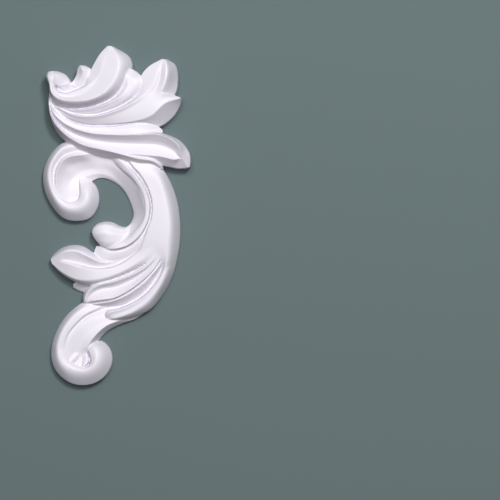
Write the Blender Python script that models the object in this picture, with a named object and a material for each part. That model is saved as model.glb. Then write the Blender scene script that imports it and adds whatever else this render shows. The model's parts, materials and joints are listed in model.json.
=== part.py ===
"""Acanthus scroll ornament, one cast relief with a flat back.

Units are metres and +Z is up. The relief looks towards -Y and its flat back lies on the plane Y = 0.
The origin is on the back of the stem. Curves are written in millimetres as (x, z, height above the back).
"""
import math
import bpy
import bmesh
from mathutils import Vector

MM = 0.001
NAME = "scroll_ornament"

# Driving dimensions in millimetres
STATION_PITCH = 6.5
FEWEST_STATIONS = 7
MOST_STATIONS = 26
WALL_DRAFT = 0.7
BACK_OVERLAP = 3.0
BACK_STEP = 0.17
BACK_BLOCK = 420.0
SOFTENING = 0.27
DOME_STEPS = 2

# Colour of the primed casting
COLOUR = (0.86, 0.85, 0.88, 1.0)
ROUGHNESS = 0.42


def spline(points, count):
    """Smooth curve through the points, cut into evenly spaced stations."""
    points = [Vector(p) for p in points]
    knots = [0.0]
    for a, b in zip(points, points[1:]):
        knots.append(knots[-1] + max((b.xy - a.xy).length, 0.01) ** 0.5)
    last = len(points) - 1
    slopes = []
    for i in range(last + 1):
        before = (points[i] - points[i - 1]) / (knots[i] - knots[i - 1]) if i > 0 else None
        after = (points[i + 1] - points[i]) / (knots[i + 1] - knots[i]) if i < last else None
        if before is None:
            slopes.append(after)
        elif after is None:
            slopes.append(before)
        else:
            left = knots[i] - knots[i - 1]
            right = knots[i + 1] - knots[i]
            slopes.append((before * right + after * left) / (left + right))
    fine = []
    for i in range(last):
        span = knots[i + 1] - knots[i]
        for k in range(16):
            u = k / 16
            fine.append(points[i] * (2 * u ** 3 - 3 * u ** 2 + 1)
                        + slopes[i] * span * (u ** 3 - 2 * u ** 2 + u)
                        + points[i + 1] * (3 * u ** 2 - 2 * u ** 3)
                        + slopes[i + 1] * span * (u ** 3 - u ** 2))
    fine.append(points[-1])
    walked = [0.0]
    for a, b in zip(fine, fine[1:]):
        walked.append(walked[-1] + (b.xy - a.xy).length)
    stations = []
    k = 0
    for i in range(count):
        want = walked[-1] * i / (count - 1)
        while k < len(fine) - 2 and walked[k + 1] < want:
            k += 1
        step = max(walked[k + 1] - walked[k], 1e-9)
        stations.append(fine[k].lerp(fine[k + 1], min(max((want - walked[k]) / step, 0.0), 1.0)))
    return stations


def length(points):
    return sum((Vector(b).xy - Vector(a).xy).length for a, b in zip(points, points[1:]))


def dome(a, b):
    """Points between two rails on a quarter of an ellipse that is level at the higher one."""
    points = []
    for i in range(DOME_STEPS):
        u = (i + 1) / (DOME_STEPS + 1)
        share = math.sin(math.pi / 2 * u) if b.z > a.z else 1.0 - math.cos(math.pi / 2 * u)
        flat = a.lerp(b, u)
        points.append(Vector((flat.x, flat.y, a.z + (b.z - a.z) * share)))
    return points


def section(station, rounded, domed):
    """Section of a leaf at one station, with its domed flanks and its softened corners."""
    row = []
    for i, point in enumerate(station):
        if i in rounded and i not in domed and i - 1 not in domed:
            before = point.lerp(station[i - 1], SOFTENING)
            after = point.lerp(station[i + 1], SOFTENING)
            row += [before, (before + point * 2 + after) / 4, after]
        else:
            row.append(point)
        if i in domed:
            row += dome(point, station[i + 1])
    return row


def foot(edge, inner, depth):
    """Point under an edge, a little outside it and behind the back plane."""
    away = (edge.xy - inner.xy)
    away = away.normalized() * WALL_DRAFT if away.length > 1e-6 else Vector((0.0, 0.0))
    return Vector((edge.x + away.x, edge.y + away.y, -depth))


def leaf(name, *rails, rounded=(), domed=()):
    """Closed loft through the rails, with walls down to the back; domed names the flanks that bulge."""
    group = bpy.data.collections["leaf bodies"]
    number = len(group.objects)
    depth = BACK_OVERLAP + BACK_STEP * number
    longest = max(length(rail) for rail in rails)
    count = int(min(max(longest / STATION_PITCH, FEWEST_STATIONS), MOST_STATIONS))
    curves = [spline(rail, count) for rail in rails]
    rows = []
    for station in zip(*curves):
        row = section(station, rounded, domed)
        rows.append([foot(row[0], row[1], depth), *row, foot(row[-1], row[-2], depth)])
    mesh = bmesh.new()
    grid = [[mesh.verts.new((p.x * MM, -p.z * MM, p.y * MM)) for p in row] for row in rows]
    width = len(grid[0])
    for near, far in zip(grid, grid[1:]):
        for i in range(width):
            j = (i + 1) % width
            mesh.faces.new((near[i], near[j], far[j], far[i]))
    mesh.faces.new(grid[0])
    mesh.faces.new(grid[-1])
    bmesh.ops.recalc_face_normals(mesh, faces=mesh.faces)
    bmesh.ops.triangulate(mesh, faces=mesh.faces)
    data = bpy.data.meshes.new(name)
    mesh.to_mesh(data)
    mesh.free()
    body = bpy.data.objects.new(name, data)
    group.objects.link(body)
    body.hide_render = True
    body.display_type = "WIRE"
    return body


def plume():
    """Leaf tips that fan out from the left end; every rail runs from there to its tip, upper rail first."""
    leaf("snout",
         [(-105.5, 144.4, 18), (-103.5, 141.5, 23), (-102.3, 136, 24.8), (-101.5, 131.5, 23.5),
          (-99.8, 128.4, 21)],
         [(-101, 144.4, 17), (-97.5, 141, 20), (-95, 136.5, 19.5), (-95, 132.8, 19.6),
          (-96, 129.3, 19.6)],
         [(-97.5, 143.6, 15), (-92.2, 141, 14), (-88.6, 136.8, 13), (-87, 133.2, 15),
          (-90.5, 130.2, 17.6)],
         rounded=(1,))
    leaf("tip_two",
         [(-101, 131, 20.5), (-96.5, 130.2, 20.2), (-91, 131.4, 19), (-85.7, 133.2, 16.2),
          (-81.4, 140, 14), (-79.8, 146.5, 17), (-77.8, 150, 18)],
         [(-100.6, 128.4, 18), (-95, 126.2, 17), (-87, 128, 16), (-79.5, 133, 17.6), (-74.6, 141, 20.5),
          (-75, 146, 22), (-77, 150, 20)],
         [(-100.6, 126, 14.5), (-93.2, 121.8, 12.5), (-82, 124.4, 13.5), (-72, 130.4, 17),
          (-67.5, 138, 18.5), (-66.5, 146, 16.5), (-72, 149.7, 16)])
    leaf("tip_three",
         [(-103, 143.9, 20), (-102, 138, 24.5), (-101.8, 132.5, 23.5), (-100.6, 126.9, 18.5),
          (-93.2, 122.8, 17.8), (-82.6, 125.3, 19), (-71.8, 131, 20.6), (-67.7, 143, 18),
          (-58, 160.7, 17.5), (-50.5, 169.2, 16)],
         [(-104, 144.1, 21), (-104, 138, 26), (-103.6, 132, 26.3), (-101.2, 126.2, 25.8),
          (-93.3, 121.3, 24.4), (-82, 123.9, 24.1), (-69.5, 129.5, 24.5), (-60.5, 137.5, 23.5),
          (-55, 152, 21.5), (-49.5, 169.5, 17)],
         [(-105.5, 144.1, 21), (-106, 138, 26.3), (-105, 130.5, 25.8), (-102.2, 123.8, 24),
          (-94, 118.8, 23), (-84, 118.8, 23), (-72, 123.5, 23.8), (-62, 132, 24), (-53, 149, 22.5),
          (-48.5, 169.6, 17.5)],
         [(-108, 143.8, 20), (-109, 138.5, 24.8), (-107, 130, 26), (-105, 122.8, 27), (-98, 116.9, 28),
          (-85, 114.6, 29), (-68, 115.8, 30), (-53, 123, 30), (-41.5, 139.5, 28), (-39.4, 153, 25),
          (-46, 169, 18)],
         [(-110, 143, 16), (-111.5, 138.5, 17), (-108.3, 131, 16), (-107.7, 121.5, 13), (-102, 111, 12),
          (-84, 105.6, 11.5), (-65, 108, 12.5), (-45, 117.2, 14), (-33, 130, 15), (-25.5, 149, 11),
          (-28.5, 158.7, 11), (-43, 168.4, 13)],
         rounded=(1, 2, 3), domed=(3,))
    leaf("tip_four",
         [(-106.8, 119, 10), (-103.5, 112.2, 12), (-97, 108.8, 13), (-80, 107.4, 12),
          (-62, 110.6, 12.5), (-44.5, 118.3, 14), (-37, 128, 17), (-34.5, 135, 18.3),
          (-35.5, 142, 18.5), (-35, 148, 17)],
         [(-107, 118, 13), (-104, 111.2, 16), (-96, 107.1, 17.5), (-80, 105, 20), (-62, 107.7, 22),
          (-44.5, 114.4, 23), (-34.5, 121.8, 23), (-30, 129.5, 22), (-29.8, 134.6, 21.2),
          (-31.5, 140.5, 20), (-32.5, 147.5, 18)],
         [(-107, 117.5, 12.5), (-104.2, 110.8, 15), (-95.5, 106, 16), (-81, 103.4, 17.5),
          (-63, 104.5, 19.3), (-44.3, 110.5, 21), (-31, 118.5, 22.3), (-25.5, 126, 22.5),
          (-23.4, 132, 22.2), (-23.6, 137.2, 21), (-25.5, 142.5, 17.5), (-26.5, 147.2, 15)],
         [(-107.1, 117, 10), (-104.5, 110.2, 11), (-94, 104.9, 12), (-82, 101.4, 12), (-65, 99.8, 12.5),
          (-44.2, 105.8, 15), (-28.3, 114.5, 17), (-18, 124, 19.5), (-15.5, 132, 20),
          (-16.2, 138.7, 18.5), (-20.5, 143.8, 13.5)],
         domed=(2,))
    leaf("tip_five",
         [(-107.1, 117.5, 10), (-104, 110.8, 11), (-95, 106, 12), (-82, 102.2, 12.5),
          (-65, 100.8, 12.5), (-44.2, 106.8, 13), (-28.3, 115.2, 15), (-19, 125, 18.5),
          (-17.4, 133, 19.3), (-15.8, 140.6, 19), (-8.5, 149, 19), (4, 156.3, 18)],
         [(-107.3, 117, 13), (-104.2, 110.2, 17), (-96, 106, 20), (-84, 100.4, 23), (-66, 98.8, 25),
          (-41.5, 104.8, 25.5), (-18, 117.3, 25), (-6, 127, 24.2), (-1.5, 138, 23.6), (0.5, 145, 22.6),
          (4.2, 156, 18.6)],
         [(-107.4, 116.5, 12.5), (-104.5, 109.5, 16), (-96, 105, 18), (-84, 99, 21), (-66, 96.8, 23),
          (-41.5, 102.5, 24), (-18, 114.5, 24.3), (-2, 126.5, 22.8), (2.4, 138.5, 21.8),
          (3.6, 147, 21.4), (5.2, 156, 18.8)],
         [(-107.5, 116, 12), (-104.8, 108.8, 15), (-96, 104, 17), (-84, 98, 20), (-66, 95, 22),
          (-41.5, 100, 22), (-16, 111, 23), (1, 119.2, 25), (6.4, 128, 26.3), (9.9, 141, 26.3),
          (9.6, 150, 23.5), (8.3, 155.6, 19)],
         [(-107.6, 115, 9), (-105, 108, 10), (-95, 102, 11), (-84, 97, 12), (-66, 93, 13),
          (-41.5, 97, 14), (-12, 108, 15), (16, 119.8, 12), (20.1, 137, 8), (17.6, 150.2, 9),
          (10, 156, 13)],
         rounded=(1, 3))
    leaf("tip_six",
         [(-107.3, 117, 11), (-104.5, 109.8, 15), (-96, 105.4, 18), (-84, 100.6, 22), (-66, 99, 24.6),
          (-41.5, 104.6, 24), (-18, 116, 24), (-2, 121.6, 24.3), (6, 122.3, 24.6), (14.6, 120.7, 22),
          (22.5, 118, 18)],
         [(-107.4, 116, 11), (-104.8, 108.8, 15), (-97, 103.4, 17), (-86, 98.5, 20), (-68, 94, 21),
          (-44, 96, 22), (-20, 102, 24), (-2, 111, 25), (9, 117.5, 23), (22.9, 117.6, 18.5)],
         [(-107.5, 115.5, 11), (-105, 108.2, 14), (-98, 102, 16), (-88, 97, 18.5), (-70, 91.8, 19),
          (-48, 91.5, 20), (-22, 94.2, 23), (-6, 99.7, 25), (8, 112, 24.5), (23.3, 117, 18.5)],
         [(-107.6, 115, 9), (-105.2, 107.5, 11), (-98.6, 101.3, 12), (-90, 96.1, 13), (-71, 90.1, 14),
          (-48, 89.6, 15), (-22, 91.8, 16), (1.1, 89.2, 11), (15.2, 98.9, 9), (22, 110, 11),
          (23.7, 116.2, 16)],
         rounded=(1,))
    leaf("tip_seven",
         [(-107.4, 117, 10), (-105.4, 111, 12), (-101, 105.5, 13), (-94, 99.6, 14), (-82, 93, 14.5),
          (-68, 90.2, 15), (-48, 90, 16), (-20, 92.8, 16.5), (-8, 92.3, 14), (1.7, 88.6, 10)],
         [(-107.6, 116.5, 14), (-105.8, 110.8, 17), (-101.7, 105.2, 18.5), (-94.5, 98.4, 19),
          (-82.7, 91.9, 20), (-68, 88.6, 20.5), (-47.4, 88.5, 21), (-20, 91.4, 21), (-9, 90.8, 18.5),
          (2.6, 87.8, 11.5)],
         [(-107.7, 116, 14), (-106.1, 109.5, 16.5), (-102.3, 103.2, 18), (-95.5, 95.3, 19),
          (-84, 88.9, 20), (-68, 85.5, 21), (-47.4, 84.5, 21), (-20, 86.5, 21), (-9, 86.8, 18.5),
          (4.6, 86.2, 11.5)],
         [(-107.8, 115.5, 12), (-106.4, 108.5, 15), (-103, 101.5, 18), (-96.2, 94.4, 20),
          (-85.1, 87.4, 22), (-68, 82.2, 23), (-47.4, 80.4, 23.5), (-22, 80.7, 23), (-8, 81.4, 18),
          (5.6, 83.6, 11)],
         rounded=(2,))
    leaf("channel",
         [(-107.6, 116, 10), (-106, 109.2, 12), (-102, 101.5, 14), (-96, 95.7, 15), (-84, 89, 18),
          (-68, 84, 19), (-47.4, 82, 20), (-22, 82.5, 19), (-4, 84, 15), (10.5, 80.7, 13),
          (23, 74.2, 12), (31.5, 62.5, 12), (32.6, 55, 12), (31.9, 48.6, 13)],
         [(-107.8, 115.5, 14), (-106.4, 108.8, 17), (-102.8, 101.5, 19.5), (-96.2, 94.4, 21.5),
          (-85.1, 87.8, 23.5), (-68, 82.5, 24.5), (-47.4, 80.6, 25), (-20, 80.6, 25), (0, 81.2, 25),
          (12, 77.2, 25), (21.5, 68.5, 24), (23.6, 59, 21), (31.2, 48.6, 14)],
         [(-108, 115, 10), (-107, 107.5, 11), (-104.3, 100, 12), (-99.2, 93.4, 12), (-88.6, 84.4, 13),
          (-71, 76.8, 14), (-50, 73.2, 15), (-20, 72, 16), (2, 70.6, 16.5), (15, 64.8, 16),
          (20, 58.5, 17), (30.5, 48.4, 14)],
         [(-108.3, 117, 12), (-108.1, 108, 16), (-106.2, 98.5, 18), (-101.6, 90.2, 19.5),
          (-88.6, 77.4, 21), (-68, 68.6, 22), (-40, 62.2, 22), (-14, 60.5, 22), (4, 58.8, 22.5),
          (17.6, 56, 21.5), (23, 57.2, 20), (29.8, 48.3, 14.5)],
         [(-108.4, 116, 8), (-108, 108, 8.5), (-106.6, 97, 9), (-102.4, 87.8, 10), (-90, 75.5, 11),
          (-70, 66.5, 12), (-42, 59.5, 12), (-18, 53.5, 12), (3, 50.5, 12), (12, 49, 12),
          (20, 47.4, 12), (29, 47.6, 13)],
         rounded=(2,))
    leaf("lower_rim",
         [(-107, 123, 12), (-107.6, 113, 13), (-104.5, 99.5, 13.5), (-95.5, 87, 14), (-76, 75, 15),
          (-50, 67, 16), (-20, 62, 17), (-4, 59, 16), (3, 51.5, 15), (5.6, 47.4, 13)],
         [(-107.7, 123.5, 15), (-108.5, 113, 18), (-106.4, 99.5, 20), (-97.5, 85.8, 22),
          (-76.8, 71.6, 23), (-50, 64.8, 23), (-20, 57.1, 23), (-5, 54.4, 22), (1.5, 50.3, 19),
          (5.4, 46.8, 14)],
         [(-108.2, 123, 11), (-109.2, 113.5, 9), (-107, 98.5, 6), (-98.8, 81.2, 6), (-77.5, 65, 11),
          (-60, 60, 9), (-46, 57, 9), (-36, 55.3, 12), (-20, 52.8, 17), (-5, 51.2, 16), (3, 46, 13)])


def stem():
    """Main curved band, its bead and its hollow inner side; every rail runs down, right rail first."""
    leaf("stem",
         [(3, 50, 12), (12.3, 34.2, 6), (18.8, 16, 5), (21.9, -5, 5), (21.2, -30, 5), (14.3, -59.6, 4),
          (2.5, -81.5, 3), (-19, -100.2, 3)],
         [(-8, 54, 16), (1.1, 36.6, 19.5), (8, 14, 20.5), (11, -8, 21), (10, -24, 20.8),
          (8.8, -40, 19.6), (5.5, -56, 17), (-1, -69, 14.5), (-10, -81, 12), (-24, -94, 9)],
         [(-10, 54, 16.5), (-1, 38, 19.8), (5, 16, 20.6), (7.5, -6, 21), (7.2, -22, 20.8),
          (6.9, -36, 19.8), (6, -45, 17.5), (3, -54, 12), (-4, -64, 9), (-20, -79, 7), (-38, -90, 5)],
         [(-29.5, 56, 16), (-23.2, 48, 18.3), (-18, 42.3, 19), (-9.6, 28.5, 20), (-5.4, 14, 20.5),
          (-5.6, 0, 20.5), (-9, -11, 20.2), (-12.5, -21, 19.7), (-15.5, -32, 18.9), (-18.5, -41, 17.5),
          (-23, -49, 14), (-30, -58, 10), (-42, -76, 7)],
         [(-31, 56, 9), (-24.7, 47.5, 9), (-19.5, 42, 9), (-11, 28.5, 9), (-6.8, 14, 9), (-7, 0, 9),
          (-11, -9, 9), (-18, -20, 9), (-29, -34, 8), (-34, -52, 7), (-46, -72, 6)],
         domed=(0,))
    leaf("bead",
         [(-39, 63, 11), (-33, 57.5, 12.5), (-26, 51.2, 13.5), (-19, 44, 14), (-9.6, 29.3, 15),
          (-4.6, 14, 15.5), (-4.8, 0, 15.5), (-8.6, -12, 15.5), (-17.5, -25.5, 15), (-31, -33.5, 13.5),
          (-44, -36.6, 12), (-53, -35.4, 10)],
         [(-41.5, 61, 11), (-35, 55.5, 13), (-27.8, 49.3, 14), (-21.4, 42.6, 15), (-12, 28.3, 15.5),
          (-7.1, 14, 16), (-7.3, 0, 16), (-11, -11, 16), (-19.4, -23, 15.5), (-31, -31, 14),
          (-44, -34.3, 12.5), (-52.5, -33.8, 10)],
         [(-43, 60, 12), (-37, 54.3, 15), (-29.5, 47.6, 17.5), (-22.9, 41.4, 19), (-13.3, 27.6, 20.2),
          (-8.6, 14, 20.4), (-8.6, 0.5, 20.4), (-12.3, -10.5, 20.4), (-20.2, -22, 20.2),
          (-31, -29.8, 19.3), (-44, -33, 17.8), (-52, -32.6, 13)],
         [(-45.5, 58, 10), (-39.5, 52.3, 13), (-32.3, 45.8, 16), (-25.6, 39.6, 18), (-16.5, 27, 19.4),
          (-12.5, 14, 20), (-12.4, 0.5, 20), (-16, -9.3, 19.8), (-23, -18, 19), (-32, -25, 17.8),
          (-44, -28, 16.5), (-53, -30, 12)],
         [(-47, 56, 7), (-41, 50.6, 10), (-33.8, 44.4, 14), (-27, 38.5, 16), (-18, 26.5, 17.5),
          (-13.8, 14, 17.5), (-13.7, 0.5, 17.5), (-17.5, -8, 17), (-24.5, -16.3, 16),
          (-33.5, -22.5, 12), (-44, -25, 11), (-53.5, -27.5, 10)],
         rounded=(3,))
    leaf("hollow",
         [(-97, 12, 17), (-101.2, 20, 16.8), (-103.4, 31, 14.5), (-103.5, 42, 13), (-100.2, 52.8, 12.5),
          (-95.8, 58.6, 12.5), (-89, 62.2, 12.5), (-80, 66, 11), (-66, 67.5, 8.5), (-52, 64, 7.5),
          (-36, 58, 10), (-24, 48, 12), (-16, 32, 12), (-11.5, 16, 12), (-10.5, 2, 12), (-14, -11, 12),
          (-21.5, -21, 12), (-32, -28, 11)],
         [(-94, 12.5, 17.3), (-97.8, 20, 17), (-100.8, 28, 17.3), (-101.6, 36, 17.8),
          (-100.5, 44.2, 18.2), (-97.6, 50.3, 18.2), (-94, 55, 18.2), (-89, 58.4, 18), (-82, 60, 17),
          (-74, 60.8, 15), (-64, 62, 9.5), (-51, 60, 8), (-38, 54, 11), (-28.5, 45.5, 15.5),
          (-19.5, 30.5, 17.5), (-14.6, 16, 18), (-13.2, 2, 18), (-17, -9, 17.5), (-24.5, -18, 16.5),
          (-34, -24.5, 15)],
         [(-91, 12, 16.5), (-93.5, 19.5, 15.3), (-95, 30, 12.3), (-95, 38, 12), (-92.5, 45, 12),
          (-87.5, 50.5, 9.8), (-80, 53, 9), (-70, 54, 8), (-58, 53, 6.5), (-46, 49.5, 7.5),
          (-36, 42.5, 10), (-26, 31, 11.5), (-19.3, 17, 12), (-17.6, 3, 12), (-20.3, -6.5, 12),
          (-27, -15, 11.5), (-35, -20.5, 10.5)],
         [(-86, 11.5, 14.5), (-87, 18, 13.5), (-88.5, 27, 9.8), (-87, 35, 7), (-83, 41, 6),
          (-77, 44.8, 5.5), (-68, 47.2, 5), (-58, 47.3, 5), (-48, 44.5, 5), (-39.5, 37.5, 5.5),
          (-31.5, 28.5, 6), (-24.5, 17, 6.5), (-21.6, 4, 6.8), (-23.4, -4.5, 7), (-29.3, -12.3, 8.5),
          (-36, -17, 9)],
         [(-82, 12, 13), (-81.5, 18, 13.5), (-81, 25, 10.5), (-80, 31, 7.5), (-77.8, 35, 6),
          (-74, 38, 5.5), (-68.5, 40.3, 5), (-59, 42, 4.5), (-48, 39.4, 4), (-37.5, 31, 3.5),
          (-29.3, 19.5, 3), (-25.4, 9, 3), (-24.3, 1, 3), (-26, -6, 4.5), (-31, -11, 8.5),
          (-37, -14, 9.5)],
         [(-78, 12.5, 6), (-76, 17, 6), (-75, 24, 5), (-73, 29, 4), (-70.5, 32, 3), (-66.3, 34.6, 2.5),
          (-57, 38, 2), (-45.5, 34.9, 1.5), (-34, 25.3, 1.5), (-26.3, 10, 1.5), (-24.5, 1, 1.5),
          (-26.5, -5.6, 3), (-31.5, -11.2, 4), (-38, -11.5, 5)],
         rounded=(2, 3))


def scroll():
    """Upper volute; its rails run from the plume round the left and the bottom into the eye."""
    leaf("scroll_roll",
         [(-84, 76, 8), (-97, 71.5, 7), (-106.8, 61.3, 7), (-113.5, 47, 7), (-114, 31, 7),
          (-108, 14, 7), (-95, -1.5, 8), (-82, -4.8, 8), (-68, -1.8, 7), (-60, 10, 6), (-59, 21, 5),
          (-62, 30, 4), (-66.3, 34.5, 3), (-69.5, 37.5, 2.5)],
         [(-82, 70, 14), (-94, 67.5, 16), (-102.5, 58, 17), (-107.5, 46, 17.5), (-107, 32, 18),
          (-101.5, 18, 18.5), (-92.5, 9.2, 19), (-81.5, 7.3, 19.5), (-73, 12, 20), (-70, 20.5, 19),
          (-71, 28, 15.5), (-73, 34, 9), (-74.5, 38, 5)],
         [(-80, 64.5, 12), (-91.5, 61.7, 13), (-99.5, 54, 13), (-103.2, 43.6, 13.5), (-103, 32, 15.5),
          (-98.5, 20.5, 17), (-91, 13.6, 17.5), (-85.3, 12.9, 17), (-80, 15, 16.8), (-77.3, 19.5, 16.8),
          (-76.9, 25, 15.5), (-77.2, 30, 12.5), (-77.9, 34.5, 8.2), (-78.5, 38, 5.5)],
         [(-80, 62, 8), (-90, 59.5, 8), (-97.5, 52, 8), (-101, 42, 8), (-101, 32, 9), (-96.8, 22, 11),
          (-90.5, 15.4, 11.5), (-85.4, 14.5, 11.5), (-81.6, 16.2, 11), (-79, 19.8, 10),
          (-78.3, 25, 8.5), (-78.6, 30, 6.5), (-79.2, 34.5, 5.5), (-79.8, 38, 4.5)],
         domed=(0, 1))


def leaves():
    """Leaves on the inner side of the stem; every rail runs from the stem to the tip, upper rail first."""
    leaf("leaf_one",
         [(-25, -8, 5), (-32, -11.2, 6), (-38, -10.2, 6), (-45, -6.8, 6), (-53, -5.9, 7), (-60, -8, 9),
          (-64.8, -12.3, 10), (-65.9, -15.5, 10)],
         [(-27, -12, 9), (-33, -14.5, 11), (-40, -13.3, 13.5), (-47, -10.6, 15), (-54, -9.6, 15.5),
          (-60.2, -11.5, 14.5), (-64, -14.5, 13), (-65.7, -17, 11.5)],
         [(-26, -15, 11), (-34, -18, 14), (-42, -18.3, 17), (-50, -17, 18.5), (-56, -16.7, 18),
          (-60.5, -17.5, 16.5), (-63.2, -19, 14.5), (-64.6, -20.2, 12.5)],
         [(-27, -19, 12), (-35, -22.8, 15), (-43, -24.5, 17), (-50, -24.3, 17.5), (-55.5, -23.8, 16.5),
          (-59.3, -23.4, 14.5), (-61.2, -23.8, 12.5), (-62.2, -24.1, 11)],
         [(-28, -23, 12), (-36, -28, 14), (-44, -31, 15), (-50, -31.5, 14.5), (-54, -30.8, 13),
          (-56.8, -29.6, 11.5), (-58, -28.8, 10.5), (-58.9, -28.1, 9.5)],
         rounded=(1, 2, 3), domed=(0, 3))
    leaf("leaf_body",
         [(-9, -10, 12), (-16, -19, 13), (-30, -28.5, 12.5), (-44, -32, 13), (-55, -30.5, 10.5),
          (-61.5, -29.9, 6)],
         [(-7, -11, 17), (-14.5, -22, 18), (-28, -32, 15.5), (-44, -37, 14.8), (-55, -35.5, 12.5),
          (-63, -33.2, 7.5)],
         [(-5, -13, 17), (-12, -25, 17.5), (-26, -37, 14.4), (-44, -43, 13.8), (-56, -42.5, 12.5),
          (-64.5, -38, 8)],
         [(-3, -16, 12), (-10.5, -27.5, 14), (-24.5, -40, 11.5), (-44, -49, 10.5), (-56, -50, 10.5),
          (-65.4, -42, 7.5)],
         rounded=(1, 2))
    leaf("leaf_two",
         [(-10, -16, 10), (-17, -25.5, 14), (-28, -34.5, 12), (-44, -42, 12), (-58, -41.5, 11),
          (-65.6, -36, 9), (-74, -30.8, 7), (-83, -29.3, 6), (-93, -31, 6), (-102, -36.7, 6),
          (-107.3, -43, 7)],
         [(-8, -17, 13), (-15, -27.5, 16.5), (-26, -36.5, 13.8), (-42, -45, 13), (-56, -46.5, 15),
          (-66, -42.5, 17.5), (-74, -38.3, 18), (-82.4, -35.2, 18), (-92, -36, 17.5),
          (-106.8, -43.8, 9)],
         [(-6, -18, 14), (-13.5, -29, 16.5), (-24, -38, 13), (-38, -47, 12), (-50, -50.6, 11.5),
          (-62, -51.2, 11.5), (-75, -48.2, 12.5), (-85, -45.3, 13.8), (-96, -43.5, 14.5),
          (-106.6, -44.3, 9)],
         [(-4, -19, 19.5), (-12, -30, 18.7), (-22.5, -38.3, 17.6), (-36, -48, 17.5), (-48, -52.4, 18),
          (-62, -53.2, 18.5), (-76, -51.3, 19), (-90, -47.6, 17.5), (-106.9, -45, 9)],
         [(0, -21, 20), (-7, -34, 19.1), (-20, -46, 18.5), (-40, -57, 18.5), (-62, -63, 18.5),
          (-82, -62.2, 16.5), (-95, -55.8, 14), (-105, -48.5, 10)],
         [(3, -22, 19.8), (-2.5, -37, 18.7), (-12, -46.5, 17), (-20, -52.5, 14), (-40, -63.2, 11),
          (-62, -69, 11), (-79, -66.8, 11), (-96.5, -57.2, 10), (-106.3, -47.2, 8)],
         rounded=(1, 4), domed=(0, 4))
    leaf("leaf_three",
         [(-58, -62, 8), (-70, -63.5, 8), (-80, -65, 7.5), (-84.5, -68, 5.5)],
         [(-58, -66, 8.5), (-68, -66.5, 9), (-77, -66.8, 8.5), (-84.8, -69, 5.5)],
         [(-60, -77, 2.5), (-70, -77, 2.5), (-78, -74.9, 2), (-85, -71.3, 3)])
    leaf("leaf_four",
         [(2, -24, 19.6), (-2.5, -36.5, 18.7), (-11.5, -47.3, 17.3), (-24, -56, 14.5),
          (-44, -63.2, 13.5), (-62, -67.2, 11.5), (-71.8, -73.4, 9), (-74.9, -82, 8), (-74.5, -87.5, 8)],
         [(3, -25, 19.6), (-1, -38, 18.8), (-10, -49.5, 18.7), (-24, -58, 18.5), (-43, -65, 18.5),
          (-60, -69.3, 17.5), (-69.5, -75.5, 16), (-72.8, -82, 14.5), (-73, -86, 13)],
         [(4, -26, 19.4), (0.5, -39.5, 18.3), (-8.5, -51, 16), (-22, -61.5, 13), (-40, -69.8, 12),
          (-57, -72.8, 11.5), (-66.3, -78.8, 12), (-69, -84, 12)],
         [(5, -28, 19.3), (2.6, -41.5, 18.4), (-4, -53, 18.3), (-14, -62.8, 18.5), (-28, -73.5, 18.5),
          (-44, -81.8, 18), (-56, -83.7, 17), (-66.5, -85, 14.5), (-72, -87, 11)],
         [(6, -29, 17), (3.8, -42.5, 15.5), (-2.8, -54.2, 14.5), (-13, -64.7, 14.2), (-27, -75.7, 14),
          (-42, -83.2, 13.5), (-55, -85.5, 11), (-65, -87, 11), (-73, -88, 9)],
         rounded=(1, 2))
    leaf("leaf_four_rim",
         [(4.6, -32, 15), (2.8, -43.5, 14.5), (-3.8, -54.6, 14), (-13.8, -65.1, 13.8),
          (-27, -75.6, 13.5), (-42, -83.2, 13), (-55, -85, 10), (-66, -86.5, 9)],
         [(6.6, -33, 18.6), (5, -44, 17.6), (-1, -53.2, 17.4), (-8, -61.2, 17.2), (-17, -69.7, 17),
          (-31, -78.9, 16.5), (-45, -85, 16), (-57, -87.3, 14.5), (-70, -88.8, 9)],
         [(7.9, -33, 9), (7, -45.5, 9.5), (3.4, -55.8, 9.5), (-1.4, -62.4, 9.5), (-6.2, -69, 9.5),
          (-12.6, -76.2, 9), (-20, -82.2, 8), (-29, -87.6, 7), (-40, -91.3, 5.5), (-50, -92.6, 4.5),
          (-59, -92, 4), (-72, -89.5, 4)])
    leaf("leaf_five",
         [(7.4, -38, 8), (6.6, -49, 9), (3.3, -57, 9), (-4, -67.8, 8.5), (-18, -81.2, 8),
          (-38, -91.3, 7.5), (-51.9, -94.6, 8), (-53.2, -98.5, 8), (-52.2, -102.4, 8)],
         [(8, -38, 13), (7.8, -48, 16.8), (4.8, -57.2, 17.6), (-2.8, -68.8, 17.8), (-16.6, -82.6, 17.3),
          (-36, -92.4, 16.5), (-50, -96, 15.5), (-51.7, -98.9, 14.5), (-51.2, -101.3, 13)],
         [(8.6, -38, 12.5), (8.6, -48, 16), (5.6, -57.8, 17), (-1.4, -70.2, 17), (-13, -83, 16.4),
          (-29, -93.2, 15.6), (-42, -97.4, 14.6), (-48.2, -99.2, 13.6), (-49.5, -101.3, 12.3)],
         [(10, -38, 13), (9.4, -48, 16.6), (6.6, -58.4, 17.6), (0.6, -71, 17.8), (-9.6, -84, 17.4),
          (-24, -94.6, 16.6), (-37, -100, 15.4), (-44, -101.9, 14.3), (-49, -102.6, 12)],
         [(19.6, -40, 4), (14.4, -59.6, 4), (5, -77.4, 5), (-7, -92.4, 7.5), (-22, -99.8, 9),
          (-34, -103.3, 9), (-42.4, -105, 7.5), (-50.8, -103.6, 8)],
         rounded=(1, 2), domed=(3,))


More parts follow.
